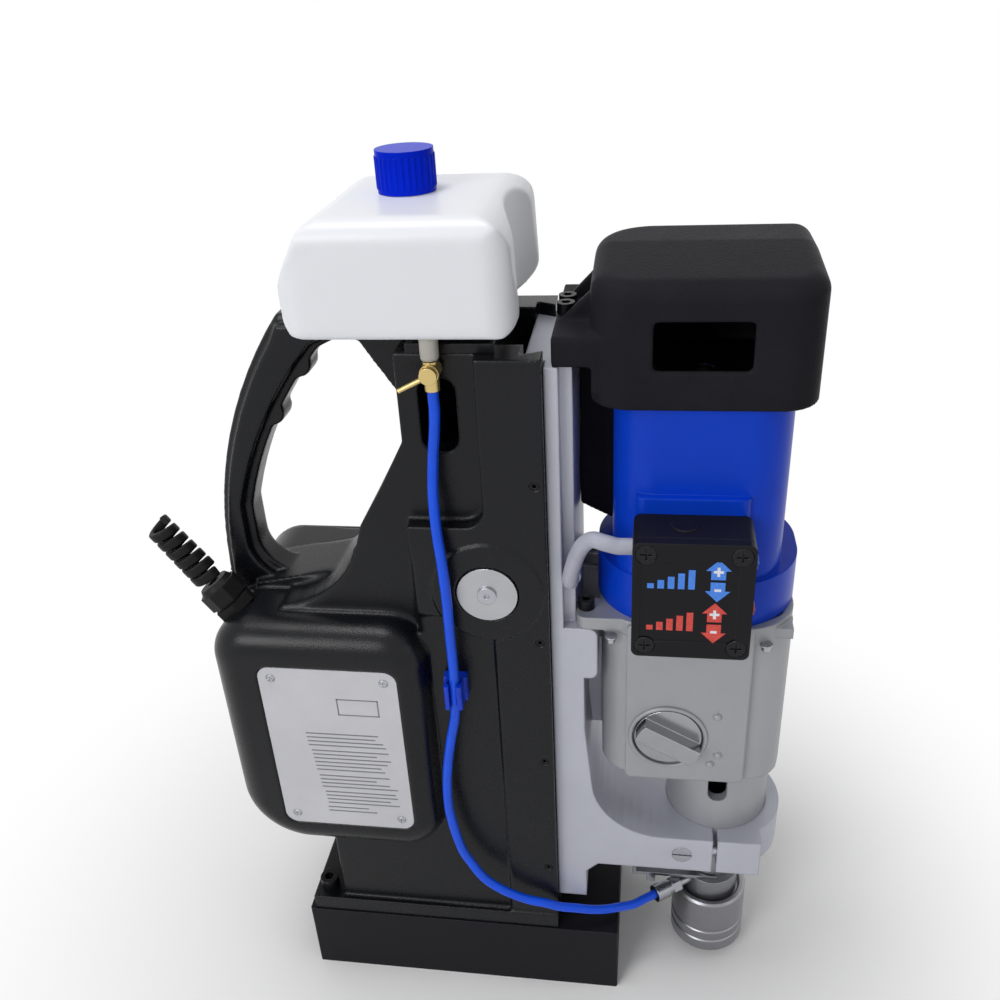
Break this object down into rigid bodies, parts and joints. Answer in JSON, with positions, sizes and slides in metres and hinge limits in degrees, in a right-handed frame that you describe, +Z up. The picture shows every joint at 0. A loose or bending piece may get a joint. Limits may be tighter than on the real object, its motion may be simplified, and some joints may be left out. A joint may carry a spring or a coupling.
{
  "type": "magnetic drill press",
  "caption": "Portable magnetic drill press: magnet foot, column with carrying handle and coolant tank, and a motor with gearbox and quick-change arbor on a hand-fed slide.",
  "frame": {"origin": "middle of the magnet foot's underside, on the work surface", "axes": "+Z up along the column, +X from the column towards the spindle, -Y to the side with the name plate"},
  "size_m": [0.3872, 0.1785, 0.5694],
  "materials": {
    "foot_paint": "black painted cast steel, satin",
    "copper_wire": "enamelled copper winding",
    "screw_steel": "zinc plated",
    "black_coating": "textured black powder coat on cast aluminium",
    "board_green": "circuit board",
    "plate_alu": "printed aluminium plate, printing left off",
    "brass": "turned brass",
    "steel": "turned or ground steel",
    "black_plastic": "moulded, fine texture",
    "silver_paint": "silver paint on cast aluminium",
    "knob_chrome": "polished",
    "core_steel": "stacked laminations with winding",
    "blue_plastic": "moulded blue nylon",
    "red_plastic": "moulded",
    "black_rubber": "matt",
    "sleeve_steel": "blackened steel with bright grooves",
    "coolant_alu": "turned",
    "tank_plastic": "milky, lets some light through",
    "blue_gloss": "moulded",
    "hose_blue": "polyurethane tube",
    "green_plastic": "moulded"
  },
  "bodies": {
    "frame": {"magnet_foot": "foot_paint", "magnet_coil": "copper_wire", "foot_screws": "screw_steel", "frame_casting": "black_coating", "switch_cover": "black_coating", "cover_screws": "screw_steel", "control_board": "board_green", "name_plate": "plate_alu", "plate_screws": "screw_steel", "gib_strip": "brass", "gib_screws": "screw_steel", "feed_bushes": "brass", "tank_saddle": "black_coating", "coolant_tank": "tank_plastic", "coolant_valve": "brass", "coolant_hose": "hose_blue", "hose_clip": "blue_plastic", "cable_gland": "black_plastic", "bend_guard": "black_rubber"},
    "feed": {"feed_shaft": "steel", "shaft_disc": "steel", "disc_screw": "screw_steel", "feed_hub": "black_coating", "feed_rods": "steel", "feed_grips": "black_plastic"},
    "slide": {"slide_casting": "silver_paint", "feed_rack": "steel", "lug_screws": "screw_steel", "neck_lock_screw": "screw_steel", "clamp_screw": "screw_steel", "gearbox_housing": "silver_paint", "spindle_bearings": "steel", "lay_bearings": "steel", "armature_bearings": "steel", "stator": "core_steel", "motor_casing": "blue_plastic", "motor_hood": "black_plastic", "hood_screws": "screw_steel", "control_box": "black_plastic", "box_lid": "black_plastic", "lid_screws": "screw_steel", "control_lead": "black_rubber", "coolant_ring": "coolant_alu", "coolant_nipple": "steel", "ring_bracket": "steel"},
    "spindle": {"drive_spindle": "steel", "arbor": "steel", "sleeve_spring": "steel"},
    "countershaft": {"layshaft": "steel"},
    "rotor": {"armature": "core_steel"},
    "sleeve": {"change_sleeve": "sleeve_steel", "sleeve_ring": "steel"},
    "gear_selector": {"gear_knob": "knob_chrome"},
    "speed_control": {"speed_wheel": "black_plastic"},
    "power_control": {"power_wheel": "red_plastic"},
    "cap": {"tank_cap": "blue_gloss"},
    "lever": {"valve_lever": "brass"},
    "start": {"start_button": "green_plastic"},
    "stop": {"stop_button": "red_plastic"},
    "magnet_switch": {"magnet_rocker": "red_plastic"}
  },
  "joints": [
    {"name": "slide_travel", "type": "slide", "parent": "frame", "child": "slide", "axis": [0, 0, 1], "range_m": [-0.005, 0.18], "deforming": ["coolant_hose"]},
    {"name": "feed_turn", "type": "hinge", "parent": "frame", "child": "feed", "pos_m": [0.0347, 0, 0.336], "axis": [0, -1, 0], "range_deg": [-18, 626]},
    {"name": "spindle_turn", "type": "hinge", "parent": "slide", "child": "spindle", "pos_m": [0.174, 0, 0.2], "axis": [0, 0, 1], "continuous": true},
    {"name": "countershaft_turn", "type": "hinge", "parent": "slide", "child": "countershaft", "pos_m": [0.15761, 0.01888, 0.25], "axis": [0, 0, 1], "continuous": true},
    {"name": "rotor_turn", "type": "hinge", "parent": "slide", "child": "rotor", "pos_m": [0.151, 0, 0.35], "axis": [0, 0, 1], "continuous": true},
    {"name": "sleeve_lift", "type": "slide", "parent": "spindle", "child": "sleeve", "axis": [0, 0, 1], "range_m": [0, 0.004], "stiffness_N_per_m": 900, "springref_m": -0.01, "deforming": ["sleeve_spring"]},
    {"name": "gear_select", "type": "hinge", "parent": "slide", "child": "gear_selector", "pos_m": [0.1385, -0.05, 0.234], "axis": [0, -1, 0], "range_deg": [0, 60]},
    {"name": "speed_turn", "type": "hinge", "parent": "slide", "child": "speed_control", "pos_m": [0.173, -0.064, 0.37], "axis": [0, -1, 0], "range_deg": [-135, 135]},
    {"name": "power_turn", "type": "hinge", "parent": "slide", "child": "power_control", "pos_m": [0.173, -0.064, 0.341], "axis": [0, -1, 0], "range_deg": [-135, 135]},
    {"name": "cap_turn", "type": "hinge", "parent": "frame", "child": "cap", "pos_m": [-0.0025, 0, 0.55], "axis": [0, 0, 1], "range_deg": [0, 540]},
    {"name": "valve_turn", "type": "hinge", "parent": "frame", "child": "lever", "pos_m": [0.013, -0.0575, 0.4695], "axis": [0, -1, 0], "range_deg": [-27, 63]},
    {"name": "start_press", "type": "slide", "parent": "frame", "child": "start", "axis": [0, -1, 0], "range_m": [0, 0.003], "stiffness_N_per_m": 500, "springref_m": -0.002},
    {"name": "stop_press", "type": "slide", "parent": "frame", "child": "stop", "axis": [0, -1, 0], "range_m": [0, 0.003], "stiffness_N_per_m": 500, "springref_m": -0.002},
    {"name": "magnet_rock", "type": "hinge", "parent": "frame", "child": "magnet_switch", "pos_m": [-0.069, 0.053, 0.197], "axis": [0, 0, 1], "range_deg": [0, 12]}
  ],
  "couplings": [
    {"joint": "feed_turn", "follows": "slide_travel", "rad_per_m": 60.606},
    {"joint": "countershaft_turn", "follows": "spindle_turn", "ratio": -1.8571},
    {"joint": "rotor_turn", "follows": "spindle_turn", "ratio": 4.3333}
  ]
}
